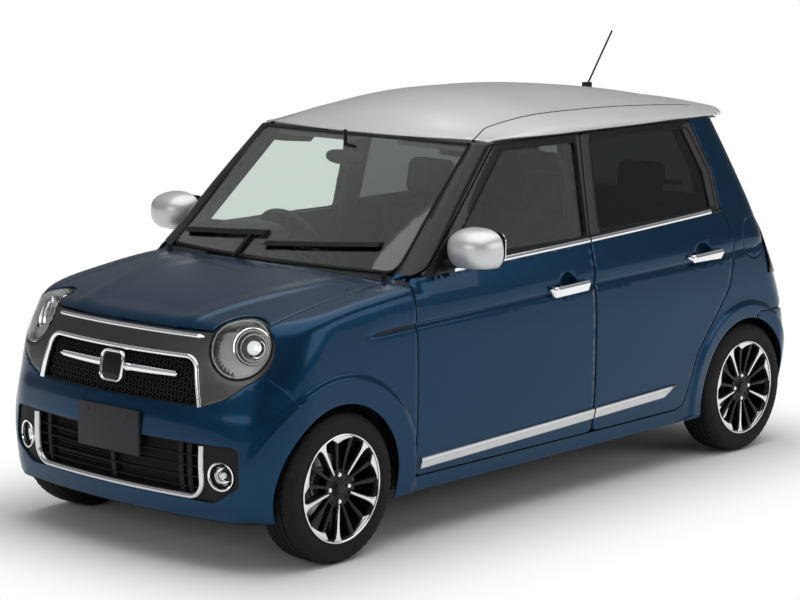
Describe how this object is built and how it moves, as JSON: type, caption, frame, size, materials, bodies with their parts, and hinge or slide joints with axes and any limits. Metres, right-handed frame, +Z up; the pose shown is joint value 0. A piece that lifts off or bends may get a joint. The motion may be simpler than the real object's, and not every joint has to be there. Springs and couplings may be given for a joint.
{
  "type": "kei car",
  "caption": "Compact five-door hatchback car with opening doors, hood, tailgate and fuel lid, steered front wheels and free-rolling wheels.",
  "frame": {"origin": "on the ground under the middle of the body's length and width", "axes": "nose towards -Y, +X to the car's left side, +Z up"},
  "size_m": [1.84, 3.3915, 1.7844],
  "materials": {
    "body_paint": "metallic clear coat",
    "silver_paint": "metallic clear coat",
    "nose_grey": "satin",
    "black_trim": "moulded",
    "window_glass": "polished",
    "dark_glass": "polished, dark",
    "lamp_lens": "clear lens over a reflector",
    "tail_lens": "polished lens",
    "tyre": "rubber",
    "wheel": "machined and black paint",
    "steel": "bare",
    "cast": "cast",
    "dark_steel": "black underbody paint",
    "seat_cloth": "woven",
    "dash": "grained",
    "plate_grey": "blank"
  },
  "bodies": {
    "body": {"side_frames": "body_paint", "floor_pan": "dark_steel", "roof_panel": "silver_paint", "front_fenders": "body_paint", "front_bumper": "body_paint", "nose_panel": "nose_grey", "grilles": "black_trim", "headlamps": "lamp_lens", "fog_lamps": "lamp_lens", "front_plate": "plate_grey", "windshield": "window_glass", "wipers": "black_trim", "rear_bumper": "body_paint", "tail_lamps": "tail_lens", "antenna": "black_trim", "dashboard": "dash", "front_seats": "seat_cloth", "rear_seat": "seat_cloth", "engine_block": "cast", "front_subframe": "dark_steel", "rear_axle": "dark_steel", "exhaust": "steel", "fuel_tank": "black_trim"},
    "hood": {"hood": "body_paint"},
    "tailgate": {"tailgate": "body_paint", "glass_tailgate": "dark_glass"},
    "fuel_lid": {"fuel_lid": "body_paint"},
    "door_front_left": {"door_front_left": "body_paint", "glass_front_left": "window_glass", "mirror_left": "silver_paint"},
    "door_front_right": {"door_front_right": "body_paint", "glass_front_right": "window_glass", "mirror_right": "silver_paint"},
    "door_rear_left": {"door_rear_left": "body_paint", "glass_rear_left": "dark_glass"},
    "door_rear_right": {"door_rear_right": "body_paint", "glass_rear_right": "dark_glass"},
    "knuckle_left": {"knuckle_left": "cast"},
    "knuckle_right": {"knuckle_right": "cast"},
    "steering_wheel": {"steering_wheel": "dash"},
    "wheel_front_left": {"tyre_front_left": "tyre", "rim_front_left": "wheel"},
    "wheel_front_right": {"tyre_front_right": "tyre", "rim_front_right": "wheel"},
    "wheel_rear_left": {"tyre_rear_left": "tyre", "rim_rear_left": "wheel"},
    "wheel_rear_right": {"tyre_rear_right": "tyre", "rim_rear_right": "wheel"}
  },
  "joints": [
    {"name": "hood_hinge", "type": "hinge", "parent": "body", "child": "hood", "pos_m": [0, -0.8465, 1], "axis": [-1, 0, 0], "range_deg": [0, 50]},
    {"name": "tailgate_hinge", "type": "hinge", "parent": "body", "child": "tailgate", "pos_m": [0, 1.2225, 1.5175], "axis": [1, 0, 0], "range_deg": [0, 80]},
    {"name": "fuel_lid_hinge", "type": "hinge", "parent": "body", "child": "fuel_lid", "pos_m": [0.7165, 1.269, 0.925], "axis": [0.1616, 0, -0.9869], "range_deg": [0, 80]},
    {"name": "door_front_left_hinge", "type": "hinge", "parent": "body", "child": "door_front_left", "pos_m": [0.7355, -0.8275, 0.7], "axis": [0.0523, 0, -0.9986], "range_deg": [0, 65]},
    {"name": "door_front_right_hinge", "type": "hinge", "parent": "body", "child": "door_front_right", "pos_m": [-0.7355, -0.8275, 0.7], "axis": [0.0523, 0, 0.9986], "range_deg": [0, 65]},
    {"name": "door_rear_left_hinge", "type": "hinge", "parent": "body", "child": "door_rear_left", "pos_m": [0.7355, 0.2395, 0.7], "axis": [0.0523, 0, -0.9986], "range_deg": [0, 70]},
    {"name": "door_rear_right_hinge", "type": "hinge", "parent": "body", "child": "door_rear_right", "pos_m": [-0.7355, 0.2395, 0.7], "axis": [0.0523, 0, 0.9986], "range_deg": [0, 70]},
    {"name": "steer_left", "type": "hinge", "parent": "body", "child": "knuckle_left", "pos_m": [0.575, -1.2325, 0.28], "axis": [0, 0, 1], "range_deg": [-36, 36]},
    {"name": "steer_right", "type": "hinge", "parent": "body", "child": "knuckle_right", "pos_m": [-0.575, -1.2325, 0.28], "axis": [0, 0, 1], "range_deg": [-36, 36]},
    {"name": "steering_wheel_turn", "type": "hinge", "parent": "body", "child": "steering_wheel", "pos_m": [-0.335, -0.3875, 0.955], "axis": [0, 0.891, 0.454], "range_deg": [-612, 612]},
    {"name": "wheel_front_left_spin", "type": "hinge", "parent": "knuckle_left", "child": "wheel_front_left", "pos_m": [0.6525, -1.2325, 0.28], "axis": [1, 0, 0], "continuous": true},
    {"name": "wheel_rear_left_spin", "type": "hinge", "parent": "body", "child": "wheel_rear_left", "pos_m": [0.6525, 1.2875, 0.28], "axis": [1, 0, 0], "continuous": true},
    {"name": "wheel_front_right_spin", "type": "hinge", "parent": "knuckle_right", "child": "wheel_front_right", "pos_m": [-0.6525, -1.2325, 0.28], "axis": [1, 0, 0], "continuous": true},
    {"name": "wheel_rear_right_spin", "type": "hinge", "parent": "body", "child": "wheel_rear_right", "pos_m": [-0.6525, 1.2875, 0.28], "axis": [1, 0, 0], "continuous": true}
  ],
  "couplings": [
    {"joint": "steer_right", "follows": "steer_left", "ratio": 1},
    {"joint": "steering_wheel_turn", "follows": "steer_left", "ratio": 17}
  ]
}
